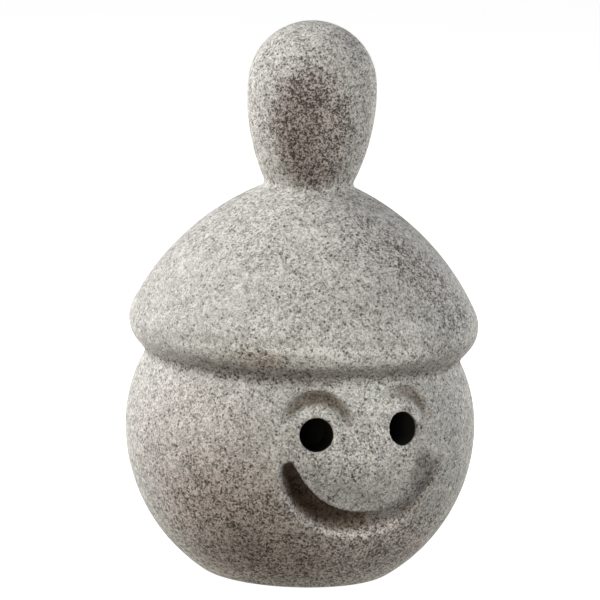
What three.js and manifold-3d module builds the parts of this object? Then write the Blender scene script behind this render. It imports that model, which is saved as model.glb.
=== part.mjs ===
// Soapstone elf figure: a round head that is flat below, a wide hat with a rolled brim and a long
// knob on top, all turned from one block of stone. The face is cut into the turned head: two
// drilled eyes, a crescent groove over each eye, a smiling mouth groove and a low round nose.
// Millimetres, +Z up, the origin at the centre of the flat underside, the face towards -Y.

import * as THREE from 'three';
import { mergeVertices } from 'three/addons/utils/BufferGeometryUtils.js';
import Module from 'manifold-3d';

// Turned body
const headDiameter = 80;
const footDiameter = 42.6; // where the round of the head would meet the flat underside
const footEdgeRadius = 3.8;
const headShoulderRadius = 33; // the tighter round of the head above its middle
const creaseRise = 16.3; // from the head's middle up to where the hat begins
const creaseFilletRadius = 2;
const undersideAngle = 49; // degrees, slope of the brim's underside
const brimOverhang = 4.2; // how far the brim stands out past the crease
const brimEdgeRadius = 7.4;
const hatHeight = 38.8; // crease to neck
const hatCurveRadius = 58.3;
const neckDiameter = 19.4;
const neckFilletRadius = 1.3;
const knobHeight = 37.4; // neck to top
const knobDiameter = 29.2;
const knobTaperRadius = 46.6;

// Face: directions are degrees on the head, azimuth to the viewer's right of the face's middle and
// elevation above the head's middle height
const eyeAzimuth = 15.1;
const eyeElevation = 7.6;
const eyeLineTilt = 0.6; // the eye on the viewer's right sits this much higher, the other lower
const eyeDiameter = 7.5;
const eyeDepth = 20;
const drillPointAngle = 118;

const browRise = 2.6; // degrees, centre of the brow's round above its eye
const browInset = 0.3; // degrees, centre of the brow's round towards the nose
const browReach = 11.75; // degrees, from that centre to the brow's crisp outer edge
const browTurnLeft = 5; // degrees, the left brow's middle is turned from the top towards the nose
const browTurnRight = -8; // and the right one's away from it
const browSpan = 94; // degrees round that centre, each way
const browWidth = 5.6;
const browDepthLeft = 2.3; // the brow on the viewer's left
const browDepthRight = 1.8; // and the one on the right
const browLean = 0.35; // the deepest line lies towards the outer edge
const browBluntness = 0.7;

const mouthAzimuth = 1.8;
const mouthElevation = 4.6;
const mouthReach = 26.1; // degrees, from the centre of the mouth's round to its tips
const mouthHug = -0.5; // below 0 the mouth lies outside the round that its tips are on
const mouthTurn = -0.5; // degrees, the mouth's middle is turned to the viewer's left
const mouthSpan = 75.5; // degrees round that centre, each way
const mouthWidth = 7.2;
const mouthDepthLeft = 6; // at the tip on the viewer's left
const mouthDepthRight = 1.8; // and at the right one
const mouthLeanLeft = -0.3; // the deepest line lies towards the inner edge on the viewer's left
const mouthLeanRight = 0.6; // and towards the outer edge on the viewer's right
const mouthBluntness = 0.55;

const noseAzimuth = 2;
const noseElevation = -4.5;
const noseDiameter = 14.4;
const noseHeight = 0.8;

// How finely the round surfaces are faceted
const sidesRound = 64;
const curveTolerance = 0.06; // millimetres between a curve and its chord
const mergeDistance = 0.0001; // corners nearer than this are one
const shortestChord = 0.006;
const grooveSides = 14;
const grooveSteps = 26;
const noseSides = 32;
const eyeSides = 24;
const toolClearance = 3; // how far a cutting tool stands out of the stone
const tipRise = 0.4; // how far a crescent's tips lift clear of the stone

const radians = THREE.MathUtils.degToRad;
const point = (r, z) => new THREE.Vector2(r, z);
const angleFrom = (from, to) => Math.atan2(to.y - from.y, to.x - from.x);

const wasm = await Module();
wasm.setup();

// Points of an arc in the profile's plane, as many as the tolerance asks for
function arc(centre, radius, start, end) {
  const step = 2 * Math.acos(1 - curveTolerance / Math.max(radius, 2 * curveTolerance));
  const steps = Math.max(2, Math.ceil(Math.abs(end - start) / step));
  const curve = new THREE.EllipseCurve(centre.x, centre.y, radius, radius, start, end, end < start);
  return curve.getPoints(steps);
}

// Where two circles cross, on the left (side 1) or right (side -1) of the way from the first
// centre to the second
function crossing(first, firstRadius, second, secondRadius, side) {
  const span = first.distanceTo(second);
  const along = (span ** 2 + firstRadius ** 2 - secondRadius ** 2) / (2 * span);
  const away = Math.sqrt(firstRadius ** 2 - along ** 2);
  const way = second.clone().sub(first).normalize();
  const left = point(-way.y, way.x);
  return first.clone().addScaledVector(way, along).addScaledVector(left, side * away);
}

const headRadius = headDiameter / 2;
const headCentre = point(0, Math.sqrt(headRadius ** 2 - (footDiameter / 2) ** 2));

// The turned outline, from the middle of the underside up to the top of the knob
function turnedProfile() {
  const footEdge = point(0, footEdgeRadius);
  footEdge.x = Math.sqrt((headRadius - footEdgeRadius) ** 2 - (headCentre.y - footEdgeRadius) ** 2);

  const shoulder = headCentre.clone().add(point(headRadius - headShoulderRadius, 0));
  const creaseReach = Math.sqrt(headShoulderRadius ** 2 - creaseRise ** 2);
  const crease = shoulder.clone().add(point(creaseReach, creaseRise));
  const slope = point(Math.cos(radians(undersideAngle)), Math.sin(radians(undersideAngle)));
  const below = point(slope.y, -slope.x);

  // The fillet touches the head from outside and the brim's underside from below
  const reach = headShoulderRadius + creaseFilletRadius;
  const lowered = crease.clone().addScaledVector(below, creaseFilletRadius).sub(shoulder);
  const lean = lowered.dot(slope);
  const shift = Math.sqrt(lean ** 2 + reach ** 2 - lowered.lengthSq()) - lean;
  const creaseFillet = lowered.clone().addScaledVector(slope, shift).add(shoulder);

  const run = (brimOverhang - brimEdgeRadius * (1 - slope.y)) / slope.x;
  const brimEdge = crease.clone().addScaledVector(slope, run).addScaledVector(below, -brimEdgeRadius);

  const neck = point(neckDiameter / 2, crease.y + hatHeight);
  const knobRadius = knobDiameter / 2;
  const knob = point(0, neck.y + knobHeight - knobRadius);
  const hat = crossing(brimEdge, hatCurveRadius - brimEdgeRadius, neck, hatCurveRadius, 1);
  const taper = crossing(neck, knobTaperRadius, knob, knobTaperRadius - knobRadius, 1);
  const neckFillet = crossing(
    hat, hatCurveRadius + neckFilletRadius, taper, knobTaperRadius + neckFilletRadius, -1);

  const brimTop = angleFrom(hat, brimEdge);
  const knobSide = angleFrom(taper, knob);
  const full = 2 * Math.PI;
  const outline = [
    [point(0, 0)],
    arc(footEdge, footEdgeRadius, -Math.PI / 2, angleFrom(headCentre, footEdge)),
    arc(headCentre, headRadius, angleFrom(headCentre, footEdge), 0),
    arc(shoulder, headShoulderRadius, 0, angleFrom(shoulder, creaseFillet)),
    arc(creaseFillet, creaseFilletRadius,
      angleFrom(creaseFillet, shoulder) + full, Math.PI / 2 + radians(undersideAngle)),
    arc(brimEdge, brimEdgeRadius, radians(undersideAngle) - Math.PI / 2, brimTop),
    arc(hat, hatCurveRadius, brimTop, angleFrom(hat, neckFillet)),
    arc(neckFillet, neckFilletRadius, angleFrom(neckFillet, hat) + full, angleFrom(neckFillet, taper)),
    arc(taper, knobTaperRadius, angleFrom(taper, neckFillet), knobSide),
    arc(knob, knobRadius, knobSide, Math.PI / 2),
  ].flat();
  outline[outline.length - 1].x = 0;
  return outline.filter((here, i) => i === 0 || here.distanceTo(outline[i - 1]) > shortestChord);
}

// A closed geometry as a solid: shared corners merged, flat leftovers dropped
function solid(geometry) {
  geometry.deleteAttribute('normal');
  geometry.deleteAttribute('uv');
  const merged = mergeVertices(geometry, mergeDistance);
  const corners = merged.index.array;
  const triangles = [];
  for (let i = 0; i < corners.length; i += 3) {
    const [a, b, c] = corners.slice(i, i + 3);
    if (a !== b && b !== c && c !== a) triangles.push(a, b, c);
  }
  return new wasm.Manifold(new wasm.Mesh({
    numProp: 3,
    vertProperties: new Float32Array(merged.attributes.position.array),
    triVerts: new Uint32Array(triangles),
  }));
}

// A lathe turned about Z from (radius, height) points that run upwards
function turned(points, sides) {
  return new THREE.LatheGeometry(points, sides).rotateX(Math.PI / 2);
}

// Directions at a place on the head: out of the stone, to the viewer's right, and up the surface
function directions(azimuth, elevation) {
  const across = radians(azimuth);
  const up = radians(elevation);
  const out = new THREE.Vector3(
    Math.sin(across) * Math.cos(up), -Math.cos(across) * Math.cos(up), Math.sin(up));
  const right = new THREE.Vector3(Math.cos(across), Math.sin(across), 0);
  return { out, right, upward: new THREE.Vector3().crossVectors(out, right) };
}

// Moves a geometry made about Z so that Z points out of the head at the place given, with its
// own origin at a distance from the head's centre
function placed(geometry, azimuth, elevation, distance) {
  const { out, right, upward } = directions(azimuth, elevation);
  const centre = out.clone().multiplyScalar(distance);
  centre.z += headCentre.y;
  return geometry.applyMatrix4(new THREE.Matrix4().makeBasis(right, upward, out).setPosition(centre));
}

// A drill that points at the head's centre, with its pointed tip at the bottom of the bore
function eyeDrill(azimuth, elevation) {
  const radius = eyeDiameter / 2;
  const tip = radius / Math.tan(radians(drillPointAngle / 2));
  const shape = [
    point(0, -eyeDepth), point(radius, tip - eyeDepth),
    point(radius, toolClearance), point(0, toolClearance)];
  return solid(placed(turned(shape, eyeSides), azimuth, elevation, headRadius));
}

// A crescent tool that follows the round of the head: a ball drawn out along an arc about a place
// on the head. Its width and depth die away at both ends, later the blunter it is. Depth and lean
// are given at its left and right ends, and a hug of 1 holds its outer edge on the arc.
function crescentTool({ azimuth, elevation, reach, turn, span, width, depths, leans, hug, bluntness }) {
  const { out, right, upward } = directions(azimuth, elevation);
  const geometry = new THREE.SphereGeometry(1, grooveSides, grooveSteps);
  const position = geometry.attributes.position;
  for (let i = 0; i < position.count; i++) {
    const along = position.getY(i);
    const high = position.getZ(i);
    const ring = Math.hypot(position.getX(i), high);
    const taper = ring ** bluntness;
    const aside = position.getX(i) / Math.max(ring, mergeDistance);
    const floor = Math.max(0, -high / Math.max(ring, mergeDistance));
    const share = THREE.MathUtils.smoothstep(along, -1, 1);
    const lean = THREE.MathUtils.lerp(...leans, share) * floor;
    const depth = THREE.MathUtils.lerp(...depths, share) * floor * taper;
    const across = (aside - hug + lean) * taper;
    const lift = Math.max(0, high) * toolClearance - depth;
    const round = radians(turn + span * along);
    const away = radians(reach) + (across * width) / 2 / headRadius;
    const way = right.clone().multiplyScalar(Math.sin(round)).addScaledVector(upward, -Math.cos(round));
    const place = out.clone().multiplyScalar(Math.cos(away)).addScaledVector(way, Math.sin(away));
    place.multiplyScalar(headRadius + lift + tipRise * (1 - taper));
    position.setXYZ(i, place.x, place.y, place.z + headCentre.y);
  }
  return solid(geometry);
}

// The nose is the cap of a ball that stands a little proud of the head
function noseBall() {
  const rim = noseDiameter / 2;
  const rise = noseHeight + headRadius - Math.sqrt(headRadius ** 2 - rim ** 2);
  const radius = (rim ** 2 + rise ** 2) / (2 * rise);
  const ball = new THREE.SphereGeometry(radius, noseSides, noseSides).rotateX(Math.PI / 2);
  return solid(placed(ball, noseAzimuth, noseElevation, headRadius + noseHeight - radius));
}

function brow(side, elevation, turn, depth) {
  return crescentTool({
    azimuth: side * (eyeAzimuth - browInset),
    elevation: elevation + browRise,
    reach: browReach,
    turn: 180 + side * turn,
    span: browSpan,
    width: browWidth,
    depths: [depth, depth],
    leans: [browLean, browLean],
    hug: 1,
    bluntness: browBluntness,
  });
}

function mouth() {
  return crescentTool({
    azimuth: mouthAzimuth,
    elevation: mouthElevation,
    reach: mouthReach,
    turn: mouthTurn,
    span: mouthSpan,
    width: mouthWidth,
    depths: [mouthDepthLeft, mouthDepthRight],
    leans: [mouthLeanLeft, mouthLeanRight],
    hug: mouthHug,
    bluntness: mouthBluntness,
  });
}

function carvedFigure() {
  const left = eyeElevation - eyeLineTilt;
  const right = eyeElevation + eyeLineTilt;
  return solid(turned(turnedProfile(), sidesRound))
    .add(noseBall())
    .subtract(eyeDrill(-eyeAzimuth, left))
    .subtract(eyeDrill(eyeAzimuth, right))
    .subtract(brow(-1, left, browTurnLeft, browDepthLeft))
    .subtract(brow(1, right, browTurnRight, browDepthRight))
    .subtract(mouth());
}

function geometryOf(manifold) {
  const mesh = manifold.getMesh();
  const geometry = new THREE.BufferGeometry();
  const corners = new Float32Array(mesh.vertProperties);
  geometry.setAttribute('position', new THREE.BufferAttribute(corners, 3));
  geometry.setIndex(new THREE.BufferAttribute(new Uint32Array(mesh.triVerts), 1));
  geometry.computeVertexNormals();
  return geometry;
}

const soapstone = new THREE.MeshStandardMaterial({ color: 0x9b9995, roughness: 0.85, metalness: 0 });
const elfFigure = new THREE.Mesh(geometryOf(carvedFigure()), soapstone);
elfFigure.name = 'elf_figure';

const figure = new THREE.Group();
figure.add(elfFigure);

export default figure;
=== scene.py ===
"""The soapstone elf figure as it looks: one turned and carved stone on a pale floor in soft light.

The block is drawn as a chain of arcs and spun round the upright axis, the face is cut into it with
the same tools as the solid model, and the stone is then worn smooth, roughened and coloured.
Sizes are metres unless a name or a docstring says otherwise; the face looks towards -Y.
"""

from __future__ import annotations

import logging
import math
from dataclasses import dataclass
from enum import Enum

import bpy
from mathutils import Matrix, Vector

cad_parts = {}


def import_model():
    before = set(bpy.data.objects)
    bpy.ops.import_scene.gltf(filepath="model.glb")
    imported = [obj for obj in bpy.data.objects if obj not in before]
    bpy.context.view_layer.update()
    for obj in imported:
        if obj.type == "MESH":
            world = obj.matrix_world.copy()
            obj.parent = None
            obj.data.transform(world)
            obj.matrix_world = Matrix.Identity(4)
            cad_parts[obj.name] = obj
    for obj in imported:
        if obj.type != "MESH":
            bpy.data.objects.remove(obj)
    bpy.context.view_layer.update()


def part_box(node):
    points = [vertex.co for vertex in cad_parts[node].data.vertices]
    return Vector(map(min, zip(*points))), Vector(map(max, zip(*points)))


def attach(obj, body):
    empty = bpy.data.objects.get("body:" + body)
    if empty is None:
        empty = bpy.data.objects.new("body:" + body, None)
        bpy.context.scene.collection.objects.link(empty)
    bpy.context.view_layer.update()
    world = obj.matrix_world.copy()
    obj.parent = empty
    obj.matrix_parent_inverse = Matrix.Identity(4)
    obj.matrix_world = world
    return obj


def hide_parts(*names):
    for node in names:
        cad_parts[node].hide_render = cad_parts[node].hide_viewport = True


MM = 0.001
log = logging.getLogger("elf_figure")


class Solver(Enum):
    """How one solid is joined to or cut from another."""

    JOIN = "UNION"
    CUT = "DIFFERENCE"


class Edit:
    """Edit mode on one object, left again at the end of a with block."""

    def __init__(self, thing: bpy.types.Object) -> None:
        """Keep the object to edit."""
        self.thing = thing

    def __enter__(self) -> Edit:
        """Select everything of the object in edit mode."""
        pick(self.thing)
        bpy.ops.object.mode_set(mode="EDIT")
        bpy.ops.mesh.select_all(action="SELECT")
        return self

    def __exit__(self, *problem: object) -> None:
        """Go back to object mode."""
        bpy.ops.object.mode_set(mode="OBJECT")


def pick(thing: bpy.types.Object) -> None:
    """Make one object the only selected and the active one."""
    bpy.ops.object.select_all(action="DESELECT")
    thing.select_set(True)
    bpy.context.view_layer.objects.active = thing


def modify(thing: bpy.types.Object, kind: str, **settings: object) -> None:
    """Add a modifier and apply it at once.

    Args:
        thing: The object to change.
        kind: The modifier's type.
        settings: The modifier's own settings, by name.
    """
    pick(thing)
    modifier = thing.modifiers.new(kind.title(), kind)
    for name, value in settings.items():
        setattr(modifier, name, value)
    bpy.ops.object.modifier_apply(modifier=modifier.name)


def combine(thing: bpy.types.Object, tool: bpy.types.Object, how: Solver) -> None:
    """Join a tool to a solid or cut it away, and remove the tool.

    Args:
        thing: The solid that stays.
        tool: The solid that is used up.
        how: Whether the tool adds stone or takes it away.
    """
    modify(thing, "BOOLEAN", object=tool, operation=how.value, solver="MANIFOLD")
    bpy.data.objects.remove(tool)


def close_seams(thing: bpy.types.Object, distance: float = 0.001 * MM) -> None:
    """Merge what lies together and turn all faces outwards.

    Args:
        thing: The mesh object to close.
        distance: How near two corners lie to be one.
    """
    with Edit(thing):
        bpy.ops.mesh.remove_doubles(threshold=distance)
        bpy.ops.mesh.normals_make_consistent(inside=False)


@dataclass(frozen=True)
class Arc:
    """A round stretch of the outline: angles run from straight outwards towards straight up."""

    centre: Vector
    radius: float
    start: float
    end: float

    def steps(self, tolerance: float) -> int:
        """Give how many chords keep the arc within the tolerance."""
        step = 2 * math.acos(1 - tolerance / max(self.radius, 2 * tolerance))
        return max(2, math.ceil(abs(self.end - self.start) / step))

    def at(self, angle: float) -> Vector:
        """Give the point of the arc's circle at an angle."""
        return self.centre + Vector((math.cos(angle), math.sin(angle))) * self.radius


def angle_from(first: Vector, second: Vector) -> float:
    """Give the direction from one point of the outline's plane to another, as an angle."""
    return math.atan2(second.y - first.y, second.x - first.x)


def crossing(first: Vector, first_radius: float, second: Vector, second_radius: float, side: int) -> Vector:
    """Find where two circles cross.

    Args:
        first: Centre of the first circle.
        first_radius: Its radius.
        second: Centre of the second circle.
        second_radius: Its radius.
        side: 1 for the crossing on the left of the way from first to second, -1 for the right.

    Returns:
        The crossing point.
    """
    way = (second - first).normalized()
    span = (second - first).length
    along = (span**2 + first_radius**2 - second_radius**2) / (2 * span)
    away = math.sqrt(first_radius**2 - along**2)
    return first + way * along + Vector((-way.y, way.x)) * side * away


@dataclass
class TurnedBlock:
    """The stone as it leaves the lathe: round head, hat with a rolled brim, and knob."""

    head_diameter: float
    height: float
    foot_diameter: float = 42.6 * MM
    foot_edge_radius: float = 3.8 * MM
    head_shoulder_radius: float = 33 * MM
    crease_rise: float = 16.3 * MM
    crease_fillet_radius: float = 2 * MM
    underside_angle: float = math.radians(49)
    brim_overhang: float = 4.2 * MM
    brim_edge_radius: float = 7.4 * MM
    hat_height: float = 38.8 * MM
    hat_curve_radius: float = 58.3 * MM
    neck_diameter: float = 19.4 * MM
    neck_fillet_radius: float = 1.3 * MM
    knob_diameter: float = 29.2 * MM
    knob_taper_radius: float = 46.6 * MM
    sides: int = 256
    tolerance: float = 0.004 * MM

    @property
    def head_radius(self) -> float:
        """Give the head's radius."""
        return self.head_diameter / 2

    @property
    def head_height(self) -> float:
        """Give the height of the head's centre above the underside."""
        return math.sqrt(self.head_radius**2 - (self.foot_diameter / 2) ** 2)

    def outline(self) -> list[Arc]:
        """Work out the arcs from the edge of the underside up to the top of the knob.

        Returns:
            The arcs in order, each starting where the one before ends.
        """
        head = Vector((0, self.head_height))
        foot = Vector((0, self.foot_edge_radius))
        foot.x = math.sqrt((self.head_radius - foot.y) ** 2 - (head.y - foot.y) ** 2)

        shoulder_radius = self.head_shoulder_radius
        shoulder = head + Vector((self.head_radius - shoulder_radius, 0))
        crease_reach = math.sqrt(shoulder_radius**2 - self.crease_rise**2)
        crease = shoulder + Vector((crease_reach, self.crease_rise))
        slope = Vector((math.cos(self.underside_angle), math.sin(self.underside_angle)))
        below = Vector((slope.y, -slope.x))

        reach = shoulder_radius + self.crease_fillet_radius
        lowered = crease + below * self.crease_fillet_radius - shoulder
        along = lowered.dot(slope)
        shift = -along + math.sqrt(along**2 + reach**2 - lowered.length_squared)
        fillet = lowered + slope * shift + shoulder

        edge_radius = self.brim_edge_radius
        run = (self.brim_overhang - edge_radius * (1 - slope.y)) / slope.x
        brim = crease + slope * run - below * edge_radius

        neck = Vector((self.neck_diameter / 2, crease.y + self.hat_height))
        knob_radius = self.knob_diameter / 2
        knob = Vector((0, self.height - knob_radius))
        hat_radius = self.hat_curve_radius
        taper_radius = self.knob_taper_radius
        hat = crossing(brim, hat_radius - edge_radius, neck, hat_radius, 1)
        taper = crossing(neck, taper_radius, knob, taper_radius - knob_radius, 1)
        neck_radius = self.neck_fillet_radius
        neck_fillet = crossing(hat, hat_radius + neck_radius, taper, taper_radius + neck_radius, -1)

        full = 2 * math.pi
        quarter = math.pi / 2
        head_start = angle_from(head, foot)
        crease_end = angle_from(shoulder, fillet)
        brim_end = angle_from(hat, brim)
        hat_end = angle_from(hat, neck_fillet)
        taper_start = angle_from(taper, neck_fillet)
        knob_start = angle_from(taper, knob)
        return [
            Arc(foot, self.foot_edge_radius, -quarter, head_start),
            Arc(head, self.head_radius, head_start, 0),
            Arc(shoulder, shoulder_radius, 0, crease_end),
            Arc(fillet, self.crease_fillet_radius, crease_end + full / 2, quarter + self.underside_angle),
            Arc(brim, edge_radius, self.underside_angle - quarter, brim_end),
            Arc(hat, hat_radius, brim_end, hat_end),
            Arc(neck_fillet, neck_radius, hat_end + full / 2, taper_start + full / 2),
            Arc(taper, taper_radius, taper_start, knob_start),
            Arc(knob, knob_radius, knob_start, quarter),
        ]

    def build(self, name: str) -> bpy.types.Object:
        """Draw the outline and spin it into a solid.

        Args:
            name: The name of the new object.

        Returns:
            The closed block, standing on the ground with its axis upright.
        """
        bpy.ops.object.select_all(action="DESELECT")
        bpy.ops.mesh.primitive_plane_add(size=self.foot_diameter, location=(0, 0, 0))
        block = bpy.context.object
        block.name = block.data.name = name
        arcs = self.outline()
        with Edit(block):
            bpy.ops.mesh.merge(type="CENTER")
            pen = Vector((0, 0))
            for arc in arcs:
                line = arc.at(arc.start) - pen
                if line.length > self.tolerance:
                    bpy.ops.mesh.extrude_region_move(TRANSFORM_OT_translate={"value": (line.x, 0, line.y)})
                pen = arc.at(arc.end)
                bpy.ops.mesh.spin(
                    steps=arc.steps(self.tolerance),
                    angle=arc.end - arc.start,
                    center=(arc.centre.x, 0, arc.centre.y),
                    axis=(0, 1, 0),
                )
            bpy.ops.mesh.select_all(action="SELECT")
            bpy.ops.mesh.spin(steps=self.sides, angle=2 * math.pi, center=(0, 0, 0), axis=(0, 0, 1))
        close_seams(block)
        return block


@dataclass(frozen=True)
class HeadSphere:
    """The round of the head, on which the face is laid out by azimuth and elevation in degrees."""

    radius: float
    height: float

    def directions(self, azimuth: float, elevation: float) -> tuple[Vector, Vector, Vector]:
        """Give the directions at a place on the head.

        Args:
            azimuth: Degrees to the viewer's right of the face's middle.
            elevation: Degrees above the head's middle height.

        Returns:
            Out of the stone, to the viewer's right, and up the surface.
        """
        across = math.radians(azimuth)
        rise = math.radians(elevation)
        flat = math.cos(rise)
        out = Vector((math.sin(across) * flat, -math.cos(across) * flat, math.sin(rise)))
        right = Vector((math.cos(across), math.sin(across), 0))
        return out, right, out.cross(right)

    def place(self, tool: bpy.types.Object, azimuth: float, elevation: float, distance: float) -> None:
        """Move a tool made about Z so that Z points out of the head.

        Args:
            tool: The tool, made at the origin.
            azimuth: Where it goes, in degrees to the viewer's right.
            elevation: Where it goes, in degrees up.
            distance: From the head's centre to the tool's origin.
        """
        out, right, upward = self.directions(azimuth, elevation)
        turn = Matrix((right, upward, out)).transposed().to_4x4()
        centre = out * distance + Vector((0, 0, self.height))
        tool.data.transform(Matrix.Translation(centre) @ turn)


@dataclass(frozen=True)
class Drift:
    """A value that changes smoothly along a groove, all of it between two shares of the way."""

    first: float
    last: float
    leaves: float = 0
    arrives: float = 1

    def at(self, share: float) -> float:
        """Give the value at a share of the way along."""
        part = min(1.0, max(0.0, (share - self.leaves) / (self.arrives - self.leaves)))
        return self.first + (self.last - self.first) * part * part * (3 - 2 * part)


def steady(value: float) -> Drift:
    """Give a value that stays the same all along a groove."""
    return Drift(value, value)


@dataclass(frozen=True)
class Wall:
    """One side of a groove, from its deepest line up to its edge.

    A big bulge holds the floor flat and the wall steep, and a big ease rounds the edge over.
    """

    bulge: Drift
    ease: Drift

    def depth(self, share: float, out: float) -> float:
        """Give how deep the groove is, as a share of its depth.

        Args:
            share: How far along the groove.
            out: How far from its middle line towards this wall's edge, from 0 to 1.

        Returns:
            1 at the middle line and 0 at the edge.
        """
        return max(0.0, 1 - min(1.0, out) ** self.bulge.at(share)) ** self.ease.at(share)


STEEP = Wall(bulge=steady(2.2), ease=steady(0.7))
SLOPED = Wall(bulge=steady(1.5), ease=steady(1))
SOFT = Wall(bulge=steady(1.5), ease=steady(1.7))


@dataclass(frozen=True)
class Crescent:
    """A groove that follows the round of the head and dies away at both tips.

    Angles are degrees, and the reach is from the place on the head to the line that the tips are
    on. A hug of 0 centres the groove on that line, a hug of 1 holds its outer edge there, and one
    below 0 moves it outwards. The deepest line leans outwards, or inwards where the lean is below
    0. The further the bluntness is below 1, the longer the tips keep their width. A drift runs
    from the viewer's right to the left on a groove whose middle is at the top, and from the left
    to the right at the bottom.
    """

    azimuth: float
    elevation: float
    reach: float
    turn: float
    span: float
    width: float
    depth: Drift
    inside: Wall
    outside: Wall
    lean: Drift
    hug: float = 0
    bluntness: Drift = steady(1)
    clearance: float = 3 * MM
    tip_rise: float = 0.4 * MM
    segments: int = 72
    rings: int = 160

    def build(self, head: HeadSphere) -> bpy.types.Object:
        """Shape a ball into the cutter for this groove.

        Args:
            head: The round that the groove follows.

        Returns:
            The cutter, in its place on the head.
        """
        bpy.ops.object.select_all(action="DESELECT")
        bpy.ops.mesh.primitive_uv_sphere_add(segments=self.segments, ring_count=self.rings, radius=1)
        tool = bpy.context.object
        out, right, upward = head.directions(self.azimuth, self.elevation)
        for vertex in tool.data.vertices:
            side, high, along = vertex.co
            share = (along + 1) / 2
            ring = math.hypot(side, high)
            taper = ring ** self.bluntness.at(share)
            aside = side / ring if ring else 0
            wall = self.outside if side > 0 else self.inside
            floor = wall.depth(share, abs(aside)) if high < 0 else 0
            across = (aside - self.hug + self.lean.at(share) * floor) * taper
            turn = math.radians(self.turn + self.span * along)
            away = math.radians(self.reach) + across * self.width / 2 / head.radius
            lift = max(0.0, high) * self.clearance - floor * taper * self.depth.at(share)
            distance = head.radius + lift + self.tip_rise * (1 - taper)
            way = right * math.sin(turn) - upward * math.cos(turn)
            vertex.co = (out * math.cos(away) + way * math.sin(away)) * distance
            vertex.co.z += head.height
        close_seams(tool)
        return tool


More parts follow.
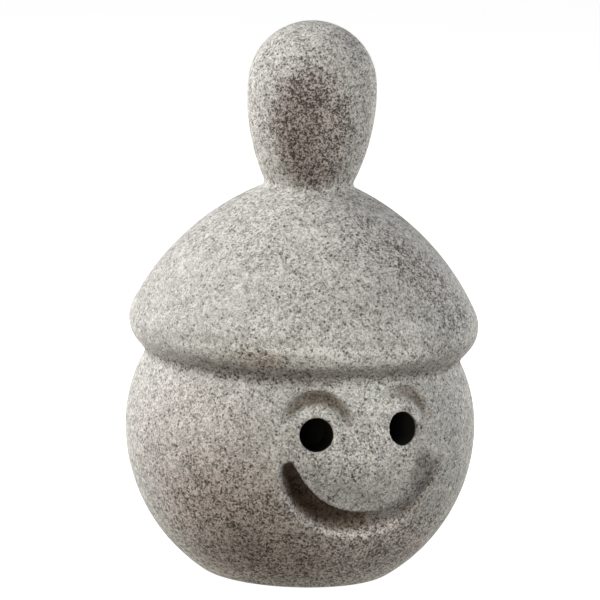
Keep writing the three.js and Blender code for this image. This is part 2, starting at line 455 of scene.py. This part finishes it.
@dataclass(frozen=True)
class Face:
    """The face cut into the head: two drilled eyes, two brows, a mouth and a low nose.

    Turns, spans, reaches, rises and insets are degrees on the head. A brow's inset moves it
    towards the nose and its turn moves its middle there from the top.
    """

    head: HeadSphere
    eye_azimuth: float = 15.1
    eye_elevation: float = 7.6
    eye_line_tilt: float = 0.6
    eye_diameter: float = 7.5 * MM
    eye_depth: float = 20 * MM
    drill_point_angle: float = 118
    brow_rise: float = 2.6
    brow_inset_left: float = 0.3
    brow_inset_right: float = -1
    brow_reach: float = 11.75
    brow_turn_left: float = 5
    brow_turn_right: float = -8
    brow_span: float = 94
    brow_width: float = 5.6 * MM
    brow_depth_left: Drift = steady(2.4 * MM)
    brow_depth_right: Drift = Drift(2.4 * MM, 1.3 * MM)
    brow_lean: float = 0.35
    brow_bluntness: float = 0.7
    nose_azimuth: float = 2
    nose_elevation: float = -4.5
    nose_diameter: float = 14.4 * MM
    nose_height: float = 0.72 * MM
    nose_line_depth: float = 0.6 * MM
    nose_line_width: float = 2 * MM
    nose_line_turn: float = 97
    nose_line_span: float = 44
    nose_line_lean: float = 0.3
    clearance: float = 3 * MM
    sides: int = 96
    mouth: Crescent = Crescent(
        azimuth=1.8,
        elevation=4.6,
        reach=26.1,
        turn=-0.5,
        span=75.5,
        width=7.2 * MM,
        depth=Drift(6.6 * MM, 1.5 * MM, 0.2, 0.62),
        inside=Wall(Drift(4, 1, 0.4, 0.8), Drift(0.6, 1.8, 0.4, 0.8)),
        outside=Wall(Drift(2.2, 3), Drift(1, 0.7)),
        lean=Drift(-0.3, 0.75, 0.42, 0.85),
        hug=-0.5,
        bluntness=Drift(0.6, 0.5),
    )

    def drill(self, azimuth: float, elevation: float) -> bpy.types.Object:
        """Make the drill for one eye, pointed at the head's centre.

        Args:
            azimuth: Where the eye is, in degrees to the viewer's right.
            elevation: Where the eye is, in degrees up.

        Returns:
            The drill, in its place.
        """
        radius = self.eye_diameter / 2
        tip = radius / math.tan(math.radians(self.drill_point_angle / 2))
        length = self.eye_depth - tip + self.clearance
        bpy.ops.object.select_all(action="DESELECT")
        bpy.ops.mesh.primitive_cylinder_add(
            vertices=self.sides, radius=radius, depth=length, location=(0, 0, self.clearance - length / 2))
        drill = bpy.context.object
        drill.data.transform(drill.matrix_world)
        drill.matrix_world = Matrix.Identity(4)
        for part in (*drill.data.vertices, *drill.data.edges, *drill.data.polygons):
            part.select = False
        for polygon in drill.data.polygons:
            polygon.select = polygon.normal.z < -0.5
        pick(drill)
        bpy.ops.object.mode_set(mode="EDIT")
        bpy.ops.mesh.extrude_region_move(TRANSFORM_OT_translate={"value": (0, 0, -tip)})
        bpy.ops.mesh.merge(type="CENTER")
        bpy.ops.object.mode_set(mode="OBJECT")
        self.head.place(drill, azimuth, elevation, self.head.radius)
        close_seams(drill)
        return drill

    def gaze(self) -> tuple[Vector, ...]:
        """Give the ways that the two eyes point out of the head, the viewer's left one first."""
        return tuple(
            self.head.directions(side * self.eye_azimuth, self.eye_elevation + side * self.eye_line_tilt)[0]
            for side in (-1, 1)
        )

    def brow(self, side: int, elevation: float) -> bpy.types.Object:
        """Make the cutter for the groove over one eye.

        Args:
            side: -1 for the viewer's left eye, 1 for the right.
            elevation: That eye's elevation in degrees.

        Returns:
            The cutter, in its place.
        """
        if side < 0:
            inset, turn, depth = self.brow_inset_left, self.brow_turn_left, self.brow_depth_left
        else:
            inset, turn, depth = self.brow_inset_right, self.brow_turn_right, self.brow_depth_right
        return Crescent(
            azimuth=side * (self.eye_azimuth - inset),
            elevation=elevation + self.brow_rise,
            reach=self.brow_reach,
            turn=180 + side * turn,
            span=self.brow_span,
            width=self.brow_width,
            depth=depth,
            inside=SOFT,
            outside=STEEP,
            lean=steady(self.brow_lean),
            hug=1,
            bluntness=steady(self.brow_bluntness),
        ).build(self.head)

    def nose(self) -> bpy.types.Object:
        """Make the ball whose cap is the nose.

        Returns:
            The ball, in its place.
        """
        rim = self.nose_diameter / 2
        rise = self.nose_height + self.head.radius - math.sqrt(self.head.radius**2 - rim**2)
        radius = (rim**2 + rise**2) / (2 * rise)
        bpy.ops.object.select_all(action="DESELECT")
        bpy.ops.mesh.primitive_uv_sphere_add(segments=self.sides, ring_count=self.sides, radius=radius)
        ball = bpy.context.object
        distance = self.head.radius + self.nose_height - radius
        self.head.place(ball, self.nose_azimuth, self.nose_elevation, distance)
        return ball

    def nose_line(self) -> bpy.types.Object:
        """Make the cutter for the faint line where the nose meets the viewer's right cheek.

        Returns:
            The cutter, in its place.
        """
        rim = math.degrees(self.nose_diameter / 2 / self.head.radius)
        return Crescent(
            azimuth=self.nose_azimuth,
            elevation=self.nose_elevation,
            reach=rim,
            turn=self.nose_line_turn,
            span=self.nose_line_span,
            width=self.nose_line_width,
            depth=steady(self.nose_line_depth),
            inside=SOFT,
            outside=SLOPED,
            lean=steady(self.nose_line_lean),
        ).build(self.head)

    def carve(self, block: bpy.types.Object) -> None:
        """Add the nose to the block and cut the rest of the face.

        Args:
            block: The turned block.
        """
        combine(block, self.nose(), Solver.JOIN)
        combine(block, self.nose_line(), Solver.CUT)
        for side in (-1, 1):
            elevation = self.eye_elevation + side * self.eye_line_tilt
            combine(block, self.drill(side * self.eye_azimuth, elevation), Solver.CUT)
            combine(block, self.brow(side, elevation), Solver.CUT)
        combine(block, self.mouth.build(self.head), Solver.CUT)


@dataclass(frozen=True)
class HandWork:
    """What sanding and handling did to the carved stone."""

    finest: float = 0.36 * MM
    smoothing: int = 1
    smoothing_share: float = 0.5
    triangle_limit: int = 190000

    def wear(self, stone: bpy.types.Object) -> None:
        """Round off the crisp edges and even out the mesh.

        Args:
            stone: The carved stone.
        """
        modify(stone, "REMESH", mode="VOXEL", voxel_size=self.finest)
        modify(stone, "SMOOTH", factor=self.smoothing_share, iterations=self.smoothing)
        triangles = 2 * len(stone.data.polygons)
        if triangles > self.triangle_limit:
            modify(stone, "DECIMATE", ratio=self.triangle_limit / triangles)
        pick(stone)
        bpy.ops.object.shade_smooth()


class Signal:
    """A value or colour that flows between nodes and takes part in sums."""

    def __init__(self, graph: Graph, socket: bpy.types.NodeSocket) -> None:
        """Keep the socket and the graph it belongs to."""
        self.graph = graph
        self.socket = socket

    def __add__(self, other: Signal | float) -> Signal:
        """Give self + other."""
        return self.graph.maths("ADD", self, other)

    __radd__ = __add__

    def __sub__(self, other: Signal | float) -> Signal:
        """Give self - other."""
        return self.graph.maths("SUBTRACT", self, other)

    def __rsub__(self, other: float) -> Signal:
        """Give other - self."""
        return self.graph.maths("SUBTRACT", other, self)

    def __mul__(self, other: Signal | float) -> Signal:
        """Give self * other."""
        return self.graph.maths("MULTIPLY", self, other)

    __rmul__ = __mul__


Value = Signal | float | tuple[float, ...]


@dataclass(frozen=True)
class Mark:
    """One kind of mark in the stone.

    Its size and its origin are millimetres, and the origin keeps the marks of one kind apart from
    those of another. A mark changes the tone by its contrast and the surface by its lift, which is
    a multiple of the stone's relief.
    """

    size: float
    origin: tuple[float, float, float] = (0, 0, 0)
    contrast: float = 0
    lift: float = 0


class Graph:
    """The nodes of one material, added one at a time."""

    def __init__(self, tree: bpy.types.NodeTree) -> None:
        """Start from an empty tree."""
        self.tree = tree
        tree.nodes.clear()

    def node(
        self, kind: str, settings: dict[str, object], inputs: dict[str | int, Value]
    ) -> bpy.types.Node:
        """Add any node.

        Args:
            kind: The node's type.
            settings: The node's own settings, which are made first.
            inputs: Values or signals for its sockets, by name or number.

        Returns:
            The new node.
        """
        made = self.tree.nodes.new(kind)
        for name, value in settings.items():
            setattr(made, name, value)
        for name, value in inputs.items():
            if isinstance(value, Signal):
                self.tree.links.new(value.socket, made.inputs[name])
            else:
                made.inputs[name].default_value = value
        return made

    def signal(self, made: bpy.types.Node, output: str | int = 0) -> Signal:
        """Take one output of a node as a signal."""
        return Signal(self, made.outputs[output])

    def maths(self, operation: str, first: Value, second: Value) -> Signal:
        """Work out a sum of two numbers."""
        made = self.node("ShaderNodeMath", {"operation": operation}, {0: first, 1: second})
        return self.signal(made)

    def step(self, value: Signal, low: float, high: float) -> Signal:
        """Rise smoothly from 0 at low to 1 at high."""
        made = self.node(
            "ShaderNodeMapRange",
            {"interpolation_type": "SMOOTHSTEP"},
            {"Value": value, "From Min": low, "From Max": high},
        )
        return self.signal(made)

    def noise(self, place: Signal, mark: Mark, roughness: float, detail: float = 3) -> Signal:
        """Give cloudy noise from 0 to 1.

        Args:
            place: Where on the stone, in millimetres.
            mark: The size of the clouds.
            roughness: How ragged they are, from 0 to 1.
            detail: How many finer layers they have.

        Returns:
            The noise.
        """
        moved = self.vector("ADD", place, mark.origin)
        made = self.node(
            "ShaderNodeTexNoise",
            {},
            {"Vector": moved, "Scale": 1 / mark.size, "Detail": detail, "Roughness": roughness},
        )
        return self.signal(made)

    def grains(self, place: Signal, mark: Mark) -> tuple[Signal, Signal]:
        """Give packed grains.

        Args:
            place: Where on the stone, in millimetres.
            mark: The size of the grains.

        Returns:
            Each grain's own tone from 0 to 1, and the distance to its middle in grain sizes.
        """
        moved = self.vector("ADD", place, mark.origin)
        made = self.node("ShaderNodeTexVoronoi", {}, {"Vector": moved, "Scale": 1 / mark.size})
        return self.signal(made, "Color"), self.signal(made, "Distance")

    def vector(self, operation: str, first: Value, second: Value, output: str = "Vector") -> Signal:
        """Work out a sum of two vectors.

        Args:
            operation: The kind of sum.
            first: The first vector.
            second: The second vector.
            output: Which result is wanted, the vector or the one value.

        Returns:
            The result.
        """
        made = self.node("ShaderNodeVectorMath", {"operation": operation}, {0: first, 1: second})
        return self.signal(made, output)

    def blend(self, share: Value, first: Value, second: Value, how: str = "MIX") -> Signal:
        """Mix two colours.

        Args:
            share: How much of the second shows, from 0 to 1.
            first: The first colour.
            second: The second colour.
            how: The way of mixing.

        Returns:
            The mixed colour.
        """
        made = self.node(
            "ShaderNodeMix", {"data_type": "RGBA", "blend_type": how}, {0: share, 6: first, 7: second})
        return self.signal(made, 2)


@dataclass(frozen=True)
class Patch:
    """A soft-edged place where the stone is paler, darker, warmer or coarser, in millimetres.

    The gain multiplies the colour, the warmth makes it browner, the grit adds contrast and the
    shade gives more dark grains. The core is the share of the reach in which all of it shows, and
    the blue loss is how much blue goes for each part of green.
    """

    centre: tuple[float, float, float]
    reach: tuple[float, float, float]
    gain: float = 1
    warmth: float = 0
    grit: float = 0
    core: float = 0.35
    shade: float = 0
    blue_loss: float = 1.5

    @property
    def tint(self) -> tuple[float, ...]:
        """Give the colour that the stone is multiplied by in the patch's core."""
        red, green = 1 + self.warmth, 1 - self.warmth
        blue = 1 - self.blue_loss * self.warmth
        return self.gain * red, self.gain * green, self.gain * blue, 1

    def cover(self, graph: Graph, place: Signal) -> Signal:
        """Give how much of the patch shows.

        Args:
            graph: The material's nodes.
            place: Where on the stone, in millimetres.

        Returns:
            1 in the patch's core and 0 outside it.
        """
        away = graph.vector("DIVIDE", graph.vector("SUBTRACT", place, self.centre), self.reach)
        return graph.step(graph.vector("LENGTH", away, away, "Value"), 1, self.core)


@dataclass(frozen=True)
class Soapstone:
    """Sanded soapstone: soft grey grains, dark flecks, paler talc, and painted shade in the hollows.

    Places, sizes and depths are millimetres, and where two of them stand together the effect
    grows from none at the first to all of it at the second.
    """

    head: HeadSphere
    eyes: tuple[Vector, ...]
    eye_radius: float
    name: str = "soapstone"
    pale: tuple[float, ...] = (0.76, 0.743, 0.71, 1)
    dark: tuple[float, ...] = (0.09, 0.078, 0.065, 1)
    black: tuple[float, ...] = (0.004, 0.003, 0.003, 1)
    # painted shade in the carved hollows: its colour, the depths below the head's round over which its two
    # coats come in, and the heights between which it lies
    hollow_shade: tuple[float, ...] = (0.39, 0.335, 0.285, 1)
    hollow_shade_depths: tuple[tuple[float, float], ...] = ((0.9, 2.3), (2.2, 4))
    hollow_shade_above: tuple[float, float] = (8, 14)
    hollow_shade_below: tuple[float, float] = (50, 49)
    bore_edge: tuple[float, float] = (0.5, 0.1)
    bore_depth: tuple[float, float] = (0.3, 1)
    roughness: float = 0.72
    relief: float = 0.2 * MM
    tone: float = 0.6
    grains: tuple[Mark, ...] = (
        Mark(0.27, contrast=0.84, lift=0.3),
        Mark(0.55, (9, 31, 4), 0.55, 0.4),
        Mark(1.1, (40, 7, 13), 0.26, 0.2),
    )
    clouds: Mark = Mark(3.2, (5, 61, 23), 0.45, 2.5)
    clouds_roughness: float = 0.65
    talc: Mark = Mark(7, (71, 5, 33), 0.14)
    talc_roughness: float = 0.6
    talc_share: tuple[float, float] = (0.55, 0.72)
    talc_over_flecks: float = 0.7
    flecks: Mark = Mark(0.9, (3, 50, 9), -0.45, -0.5)
    fleck_reach: tuple[float, float] = (0.45, 0.15)
    fleck_share: tuple[float, float] = (0.5, 0.6)
    patches: tuple[Patch, ...] = (
        # knob, darker, warmer and coarser, most of all at its front and near the neck
        Patch((0, 0, 108), (20, 20, 24), 0.97, 0.01, 0.5),
        Patch((-5, -13, 103), (12.5, 10, 18), 0.85, 0.035, 1, 0.5, 0.17),
        Patch((-8, -12, 104), (7, 8, 14), 0.82, 0.015, 0.2, shade=0.08),
        Patch((-2, -11, 92.5), (7, 7, 4.5), 0.75, 0.02, 0.5),
        # darker run down the hat
        Patch((4, -17, 85), (8, 8, 8), 0.88, grit=0.2),
        Patch((10, -23.5, 78.5), (10, 10, 10), 0.95, 0.01, 0.5, shade=0.08),
        Patch((17, -26, 72), (11, 11, 11), 0.95, 0.01, 0.5, shade=0.08),
        Patch((25, -28, 64), (10, 10, 10), 0.95, grit=0.5, shade=0.06),
        Patch((-36, -16, 66), (26, 26, 20), 1, grit=-0.25),
        # paler band round the front of the brim, and painted shade in the crease under it
        Patch((-10, -26, 55.8), (36, 36, 3.6), 1.55, -0.01, core=0.55),
        Patch((-10, -30, 61), (30, 30, 6), 1.1),
        Patch((-8, -39, 58), (12, 12, 6), 1.1),
        Patch((11, -38, 60), (8, 8, 6), 1.15),
        Patch((-22, -32, 55), (9, 9, 3), 0.82, 0.035, 0.3),
        # painted shade: a darker, browner, coarser ring in the crease under the brim's overhang
        Patch((0, 0, 50.6), (90, 90, 2.2), 0.8, 0.008, 0.4, 0.4, 0.04),
        # cheeks, forehead and nose: painted light in paler patches, where the face is more brightly lit
        Patch((1, -37.5, 47), (15, 9, 6), 1.32, -0.01),
        Patch((6, -38, 42), (6, 6, 7), 1.25),
        Patch((-10, -37.5, 42.5), (6, 6, 3.5), 1.2),
        Patch((10.6, -37, 43), (5, 6, 3.5), 1.15),
        Patch((10, -38.6, 33), (5, 5, 8), 1.2),
        Patch((-17.5, -36, 34), (6, 6, 6), 1.12),
        Patch((-2, -39.5, 35), (14, 9, 9), 1.25, grit=0.2),
        Patch((-32, -24, 38), (12, 12, 10), 1.08),
        Patch((-36, -22, 32), (30, 30, 24), 1, 0.02),
        Patch((1, -33, 11), (9, 9, 6), 1.1),
        # painted light: a paler band round the bottom edge, where it catches light from behind and below
        Patch((0, 0, 1), (60, 60, 7), 1.35),
        # darker, browner lower side
        Patch((-22, -22, 14), (26, 26, 24), 1.05, 0.045, 0.9, shade=0.05),
        Patch((8, -28, 10), (26, 26, 14), 1.12, 0.035, 0.9, shade=0.06),
        Patch((-32, -22, 24), (12, 12, 9), 0.88),
        Patch((-22, -27, 13), (9, 9, 9), 0.88),
        # painted shade at the mouth's right end, where its long inner slope faces away from the light
        Patch((16, -35, 29), (5, 6, 7), 0.5, 0.03, 0.6, 0.5),
        Patch((13, -34, 22), (6, 6, 5), 0.72, 0.03, 0.4),
    )

    def raw(self, graph: Graph, place: Signal, coarse: Value, base: Value) -> tuple[Signal, Signal]:
        """Lay out the grains, clouds, talc and flecks of the raw stone.

        Args:
            graph: The material's nodes.
            place: Where on the stone.
            coarse: How strong the marks are.
            base: The middle tone.

        Returns:
            The tone, from 0 for dark to 1 for pale, and the height of the surface.
        """
        pattern: Value = 0.0
        surface: Value = 0.0
        for mark in self.grains:
            tone, _ = graph.grains(place, mark)
            pattern = pattern + (tone - 0.5) * mark.contrast
            surface = surface + tone * mark.lift
        clouds = graph.noise(place, self.clouds, self.clouds_roughness)
        pattern = pattern + (clouds - 0.5) * self.clouds.contrast
        talc = graph.step(graph.noise(place, self.talc, self.talc_roughness), *self.talc_share)
        chance, middle = graph.grains(place, self.flecks)
        flecks = graph.step(middle, *self.fleck_reach) * graph.step(chance, *self.fleck_share)
        flecks = flecks * (1 - talc * self.talc_over_flecks)
        tone = pattern * coarse + base + flecks * coarse * self.flecks.contrast
        surface = surface + clouds * self.clouds.lift + flecks * self.flecks.lift
        return tone + talc * self.talc.contrast, surface

    def hollows(self, graph: Graph, height: Signal, depth: Signal) -> list[Signal]:
        """Find the carved hollows that are darkened with painted shade.

        Args:
            graph: The material's nodes.
            height: Above the ground.
            depth: Below the round of the head.

        Returns:
            For each coat of painted shade, 1 where it lies and 0 elsewhere.
        """
        carved = graph.step(height, *self.hollow_shade_above) * graph.step(height, *self.hollow_shade_below)
        return [graph.step(depth, *depths) * carved for depths in self.hollow_shade_depths]

    def bores(self, graph: Graph, from_head: Signal, depth: Signal) -> Signal:
        """Find the insides of the drilled eyes.

        Args:
            graph: The material's nodes.
            from_head: Where on the stone, from the head's centre.
            depth: Below the round of the head.

        Returns:
            1 inside a bore and 0 elsewhere.
        """
        outer, inner = (self.eye_radius / MM + edge for edge in self.bore_edge)
        inside: Value = 0.0
        for eye in self.eyes:
            aside = graph.vector("CROSS_PRODUCT", from_head, tuple(eye))
            inside = inside + graph.step(graph.vector("LENGTH", aside, aside, "Value"), outer, inner)
        return inside * graph.step(depth, *self.bore_depth)

    def build(self) -> bpy.types.Material:
        """Make the material.

        Returns:
            The stone's material, its patterns in millimetres on the stone itself.
        """
        material = bpy.data.materials.new(self.name)
        material.use_nodes = True
        graph = Graph(material.node_tree)
        metres = graph.signal(graph.node("ShaderNodeTexCoord", {}, {}), "Object")
        place = graph.vector("MULTIPLY", metres, (1 / MM, 1 / MM, 1 / MM))
        height = graph.signal(graph.node("ShaderNodeSeparateXYZ", {}, {"Vector": place}), "Z")
        from_head = graph.vector("SUBTRACT", place, (0, 0, self.head.height / MM))
        depth = self.head.radius / MM - graph.vector("LENGTH", from_head, from_head, "Value")

        covers = [(patch, patch.cover(graph, place)) for patch in self.patches]
        coarse: Value = 1.0
        base: Value = self.tone
        for patch, cover in covers:
            if patch.grit:
                coarse = coarse + cover * patch.grit
            if patch.shade:
                base = base - cover * patch.shade
        tone, surface = self.raw(graph, place, coarse, base)

        colour = graph.blend(tone, self.dark, self.pale)
        for patch, cover in covers:
            colour = graph.blend(cover, colour, patch.tint, "MULTIPLY")
        # painted shade: the carved hollows are darkened and browned by their depth below the head's round
        for hollow in self.hollows(graph, height, depth):
            colour = graph.blend(hollow, colour, self.hollow_shade, "MULTIPLY")
        colour = graph.blend(self.bores(graph, from_head, depth), colour, self.black)

        bump = graph.node(
            "ShaderNodeBump", {}, {"Height": surface, "Distance": self.relief, "Strength": 1.0})
        shader = graph.node(
            "ShaderNodeBsdfPrincipled",
            {},
            {"Base Color": colour, "Roughness": self.roughness, "Normal": graph.signal(bump)},
        )
        graph.node("ShaderNodeOutputMaterial", {}, {"Surface": graph.signal(shader)})
        return material


@dataclass(frozen=True)
class Figure:
    """The whole elf: turned, carved, worn and finished."""

    node: str = "elf_figure"
    body: str = "root"
    piece: str = "carved_soapstone_elf"

    def build(self) -> bpy.types.Object:
        """Make the figure around its solid in the frame.

        Returns:
            The finished figure.
        """
        low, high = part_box(self.node)
        block = TurnedBlock(head_diameter=high.x - low.x, height=high.z)
        stone = block.build(self.piece)
        log.info("turned block: %d faces", len(stone.data.polygons))
        face = Face(HeadSphere(block.head_radius, block.head_height))
        face.carve(stone)
        log.info("face carved: %d faces", len(stone.data.polygons))
        HandWork().wear(stone)
        log.info("stone worn smooth: %d faces", len(stone.data.polygons))
        finish = Soapstone(face.head, face.gaze(), face.eye_diameter / 2)
        stone.data.materials.clear()
        stone.data.materials.append(finish.build())
        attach(stone, self.body)
        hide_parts(self.node)
        return stone


@dataclass(frozen=True)
class Softbox:
    """A square lamp with a diffuser, aimed at the figure. Its azimuth counts from the camera's."""

    name: str
    azimuth: float
    elevation: float
    strength: float
    size: float = 0.5
    distance: float = 0.9
    colour: tuple[float, float, float] = (1, 1, 1)

    def build(self, aim: Vector, camera_azimuth: float) -> None:
        """Hang the lamp.

        Args:
            aim: The point that the lamp faces.
            camera_azimuth: Where the camera stands, in degrees from the front of the face.
        """
        back = direction(camera_azimuth + self.azimuth, self.elevation)
        lamp = bpy.data.lights.new(self.name, "AREA")
        lamp.energy = self.strength
        lamp.size = self.size
        lamp.color = self.colour
        hung = bpy.data.objects.new(self.name, lamp)
        hung.location = aim + back * self.distance
        hung.rotation_euler = back.to_track_quat("Z", "Y").to_euler()
        bpy.context.scene.collection.objects.link(hung)


def direction(azimuth: float, elevation: float) -> Vector:
    """Give the way from the figure to a place round it.

    Args:
        azimuth: Degrees to the right, seen from in front of the face.
        elevation: Degrees above the horizon.

    Returns:
        A vector of length 1.
    """
    across = math.radians(azimuth)
    rise = math.radians(elevation)
    return Vector((
        math.sin(across) * math.cos(rise), -math.cos(across) * math.cos(rise), math.sin(rise)))


@dataclass(frozen=True)
class Studio:
    """The pale floor, the light and the camera at the photograph's angle."""

    camera_azimuth: float = -20.5
    camera_elevation: float = 9
    camera_roll: float = 2.093
    camera_distance: float = 892.3 * MM
    aim_height: float = 64.4 * MM
    aim_right: float = -1.1 * MM
    aim_up: float = -1.95 * MM
    focal_pixels: float = 3909.4
    frame_pixels: float = 600
    sensor_width_mm: float = 36
    floor_size: float = 8
    floor_colour: tuple[float, ...] = (0.4, 0.4, 0.4, 1)
    floor_roughness: float = 0.9
    floor_glow: float = 0.95
    backdrop: tuple[float, ...] = (2.9, 2.8, 2.5, 1)
    backdrop_rise: tuple[float, float] = (0.1, -0.1)
    backdrop_edge: tuple[float, float] = (0.3, 0.9)
    elsewhere: tuple[float, ...] = (0.02, 0.02, 0.02, 1)
    lamps: tuple[Softbox, ...] = (
        Softbox("left_softbox", -90, 38, 8.5, 0.6),
        Softbox("front_softbox", -15, 5, 3.1, 0.5, colour=(1, 0.94, 0.82)),
        Softbox("right_softbox", 48, 40, 3.3, 0.45, colour=(0.95, 0.98, 1)),
        Softbox("low_right_softbox", 85, 3, 1.5, 0.35),
        Softbox("rear_left_softbox", -118, 3, 3.2, 0.35),
        Softbox("rear_right_softbox", 145, 5, 2.2, 0.35),
    )

    def place_camera(self) -> None:
        """Set up the camera."""
        back = direction(self.camera_azimuth, self.camera_elevation)
        level = direction(self.camera_azimuth + 90, 0)
        turn = Matrix((level, back.cross(level), back)).transposed()
        turn = turn @ Matrix.Rotation(math.radians(self.camera_roll), 3, "Z")
        right, up = turn.col[0], turn.col[1]
        aim = Vector((0, 0, self.aim_height)) + right * self.aim_right + up * self.aim_up
        data = bpy.data.cameras.new("camera")
        data.sensor_width = self.sensor_width_mm
        data.lens = self.focal_pixels / self.frame_pixels * self.sensor_width_mm
        camera = bpy.data.objects.new("camera", data)
        camera.matrix_world = Matrix.Translation(aim + back * self.camera_distance) @ turn.to_4x4()
        bpy.context.scene.collection.objects.link(camera)
        bpy.context.scene.camera = camera

    def lay_floor(self) -> None:
        """Lay the floor that the figure stands on."""
        bpy.ops.object.select_all(action="DESELECT")
        bpy.ops.mesh.primitive_plane_add(size=self.floor_size)
        floor = bpy.context.object
        floor.name = "floor"
        floor.visible_diffuse = floor.visible_glossy = floor.visible_shadow = False
        material = bpy.data.materials.new("floor")
        material.use_nodes = True
        graph = Graph(material.node_tree)
        shader = graph.node(
            "ShaderNodeBsdfPrincipled",
            {},
            {
                "Base Color": self.floor_colour,
                "Roughness": self.floor_roughness,
                "Emission Color": (1, 1, 1, 1),
                "Emission Strength": self.floor_glow,
            },
        )
        graph.node("ShaderNodeOutputMaterial", {}, {"Surface": graph.signal(shader)})
        floor.data.materials.append(material)

    def light(self) -> None:
        """Hang the lamps and set the light from all round."""
        world = bpy.data.worlds.new("studio")
        world.use_nodes = True
        bpy.context.scene.world = world
        graph = Graph(world.node_tree)
        way = graph.signal(graph.node("ShaderNodeTexCoord", {}, {}), "Generated")
        parts = graph.node("ShaderNodeSeparateXYZ", {}, {"Vector": way})
        low = graph.step(graph.signal(parts, "Z"), *self.backdrop_rise)
        behind = graph.vector("DOT_PRODUCT", way, tuple(-direction(self.camera_azimuth, 0)), "Value")
        lit = low * graph.step(behind, *self.backdrop_edge)
        light = graph.node(
            "ShaderNodeBackground", {}, {"Color": graph.blend(lit, self.elsewhere, self.backdrop)})
        graph.node("ShaderNodeOutputWorld", {}, {"Surface": graph.signal(light)})
        aim = Vector((0, 0, self.aim_height))
        for lamp in self.lamps:
            lamp.build(aim, self.camera_azimuth)

    def build(self) -> None:
        """Set up floor, light and camera."""
        self.place_camera()
        self.lay_floor()
        self.light()
        bpy.context.scene.view_settings.view_transform = "Standard"


def main() -> None:
    """Build the figure and its studio."""
    logging.basicConfig(level=logging.INFO, format="%(name)s: %(message)s")
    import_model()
    Studio().build()
    Figure().build()
    log.info("size file written")


if __name__ == "__main__":
    main()
